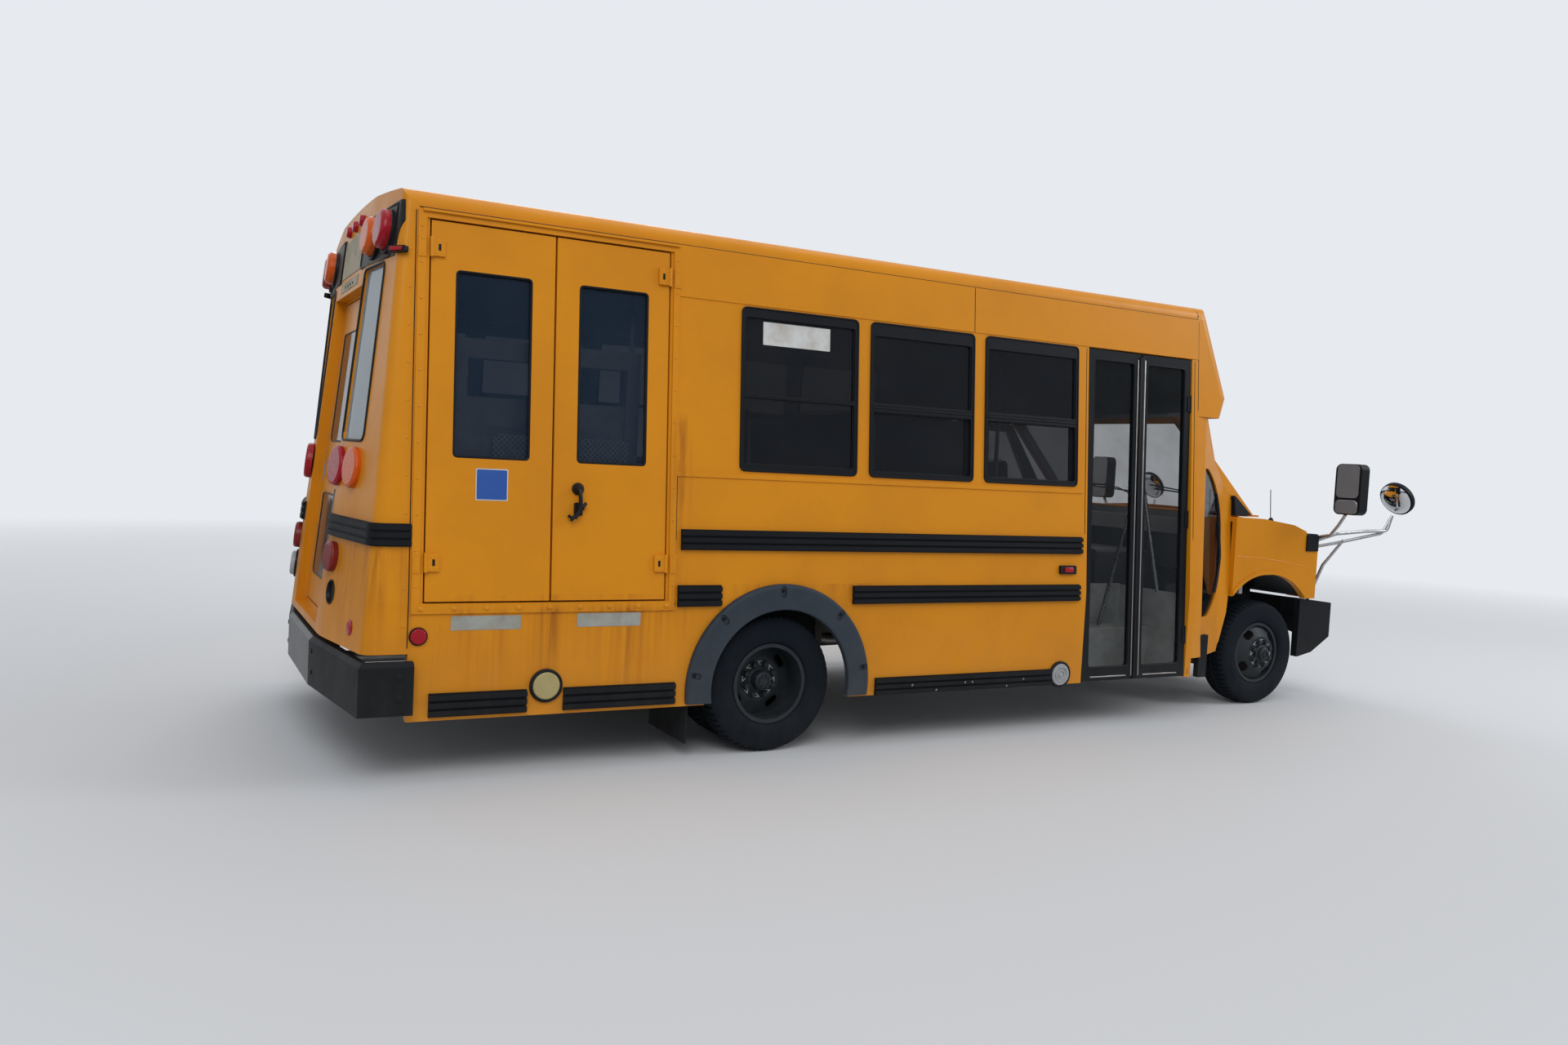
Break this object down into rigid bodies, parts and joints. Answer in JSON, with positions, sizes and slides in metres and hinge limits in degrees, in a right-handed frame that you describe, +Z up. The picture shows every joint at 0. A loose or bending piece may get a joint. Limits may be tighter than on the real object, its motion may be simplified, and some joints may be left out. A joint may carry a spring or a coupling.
{
  "type": "short school bus",
  "caption": "Short passenger bus on a van cab chassis: opening lift doors, entrance doors, hood and rear door; steering and rolling wheels.",
  "frame": {"origin": "on the ground under the middle of the whole vehicle", "axes": "+X to the front of the bus, +Y to its left, +Z up"},
  "size_m": [7.4168, 2.665, 2.755],
  "materials": {
    "body_paint": "school-bus yellow-orange paint with rust streaks",
    "black_trim": "matte black moulded trim",
    "rubber": "matte black rubber",
    "glass": "tinted safety glass",
    "grey_floor": "light grey floor covering",
    "chassis_black": "black chassis paint with dust",
    "cast_iron": "bare cast iron, light rust",
    "bare_steel": "dull bare steel",
    "bright_steel": "polished stainless tube",
    "clear_lamp": "clear lamp lens",
    "red_lamp": "red and amber lamp lens",
    "red_paint": "red sign face with white border",
    "seat_vinyl": "dark blue-grey seat vinyl",
    "grey_plastic": "dark grey moulded plastic",
    "tyre": "black tyre rubber",
    "wheel_black": "black painted steel wheel"
  },
  "bodies": {
    "root": {"right_wall": "body_paint", "left_wall": "body_paint", "roof_panel": "body_paint", "front_cap": "body_paint", "rear_cap": "body_paint", "window_frames": "black_trim", "window_glass": "glass", "floor_deck": "grey_floor", "frame_rails": "chassis_black", "rear_axle": "chassis_black", "leaf_springs": "chassis_black", "engine_block": "cast_iron", "exhaust_pipe": "bare_steel", "fuel_tank": "chassis_black", "front_suspension": "chassis_black", "kerb_panel": "body_paint", "cab_shell": "grey_floor", "windshield": "glass", "front_fenders": "body_paint", "grille_panel": "black_trim", "head_lamps": "clear_lamp", "front_bumper": "black_trim", "rear_bumper": "black_trim", "rub_rails": "black_trim", "arch_flares": "black_trim", "mud_flaps": "rubber", "wheel_liners": "black_trim", "outer_brackets": "black_trim", "mirror_arms": "bright_steel", "mirror_heads": "black_trim", "warning_lamps": "red_lamp", "running_lamps": "red_lamp", "seats": "seat_vinyl", "cab_trim": "grey_plastic", "steering_wheel": "grey_plastic", "wheelchair_lift": "bare_steel"},
    "lift_door_rear": {"lift_door_rear": "body_paint", "lift_door_rear_glass": "glass"},
    "lift_door_front": {"lift_door_front": "body_paint", "lift_door_front_glass": "glass"},
    "entrance_leaf_rear": {"entrance_leaf_rear": "black_trim", "entrance_leaf_rear_glass": "glass"},
    "entrance_leaf_front": {"entrance_leaf_front": "black_trim", "entrance_leaf_front_glass": "glass"},
    "rear_door": {"rear_door": "body_paint", "rear_door_glass": "glass"},
    "driver_door": {"driver_door": "body_paint", "driver_door_glass": "glass"},
    "hood": {"hood": "body_paint"},
    "stop_arm": {"stop_arm": "red_paint"},
    "knuckle_right": {"knuckle_right": "cast_iron"},
    "knuckle_left": {"knuckle_left": "cast_iron"},
    "wheel_front_right": {"front_tyre_right": "tyre", "front_rim_right": "wheel_black"},
    "wheel_front_left": {"front_tyre_left": "tyre", "front_rim_left": "wheel_black"},
    "wheels_rear_right": {"rear_tyres_right": "tyre", "rear_rims_right": "wheel_black"},
    "wheels_rear_left": {"rear_tyres_left": "tyre", "rear_rims_left": "wheel_black"}
  },
  "joints": [
    {"name": "lift_door_rear_hinge", "type": "hinge", "parent": "root", "child": "lift_door_rear", "pos_m": [-3.316, -1.16758, 1.7], "axis": [0, -0.075, -0.9972], "range_deg": [0, 100]},
    {"name": "lift_door_front_hinge", "type": "hinge", "parent": "root", "child": "lift_door_front", "pos_m": [-2.145, -1.16758, 1.7], "axis": [0, 0.075, 0.9972], "range_deg": [0, 100]},
    {"name": "entrance_rear_hinge", "type": "hinge", "parent": "root", "child": "entrance_leaf_rear", "pos_m": [0.661, -1.16508, 1.3], "axis": [0, -0.0567, -0.9984], "range_deg": [0, 85]},
    {"name": "entrance_front_hinge", "type": "hinge", "parent": "root", "child": "entrance_leaf_front", "pos_m": [1.539, -1.16508, 1.3], "axis": [0, 0.0567, 0.9984], "range_deg": [0, 85]},
    {"name": "rear_door_hinge", "type": "hinge", "parent": "root", "child": "rear_door", "pos_m": [-3.5504, -0.43, 1.4], "axis": [0.0995, 0, 0.995], "range_deg": [0, 90]},
    {"name": "driver_door_hinge", "type": "hinge", "parent": "root", "child": "driver_door", "pos_m": [2.186, 1.006, 1], "axis": [0, 0, -1], "range_deg": [0, 65]},
    {"name": "hood_hinge", "type": "hinge", "parent": "root", "child": "hood", "pos_m": [2.476, 0, 1.37], "axis": [0, -1, 0], "range_deg": [0, 50]},
    {"name": "stop_arm_hinge", "type": "hinge", "parent": "root", "child": "stop_arm", "pos_m": [0.928, 1.23441, 1.29], "axis": [0, 0, -1], "range_deg": [0, 90]},
    {"name": "steer_left", "type": "hinge", "parent": "root", "child": "knuckle_left", "pos_m": [2.547, 0.79, 0.366], "axis": [0, 0, 1], "range_deg": [-35, 35]},
    {"name": "steer_right", "type": "hinge", "parent": "root", "child": "knuckle_right", "pos_m": [2.547, -0.79, 0.366], "axis": [0, 0, 1], "range_deg": [-35, 35]},
    {"name": "spin_front_left", "type": "hinge", "parent": "knuckle_left", "child": "wheel_front_left", "pos_m": [2.547, 0.863, 0.366], "axis": [0, 1, 0], "continuous": true},
    {"name": "spin_front_right", "type": "hinge", "parent": "knuckle_right", "child": "wheel_front_right", "pos_m": [2.547, -0.863, 0.366], "axis": [0, 1, 0], "continuous": true},
    {"name": "spin_rear_left", "type": "hinge", "parent": "root", "child": "wheels_rear_left", "pos_m": [-1.492, 0.933, 0.366], "axis": [0, 1, 0], "continuous": true},
    {"name": "spin_rear_right", "type": "hinge", "parent": "root", "child": "wheels_rear_right", "pos_m": [-1.492, -0.933, 0.366], "axis": [0, 1, 0], "continuous": true}
  ],
  "couplings": [
    {"joint": "steer_right", "follows": "steer_left", "ratio": 1}
  ]
}
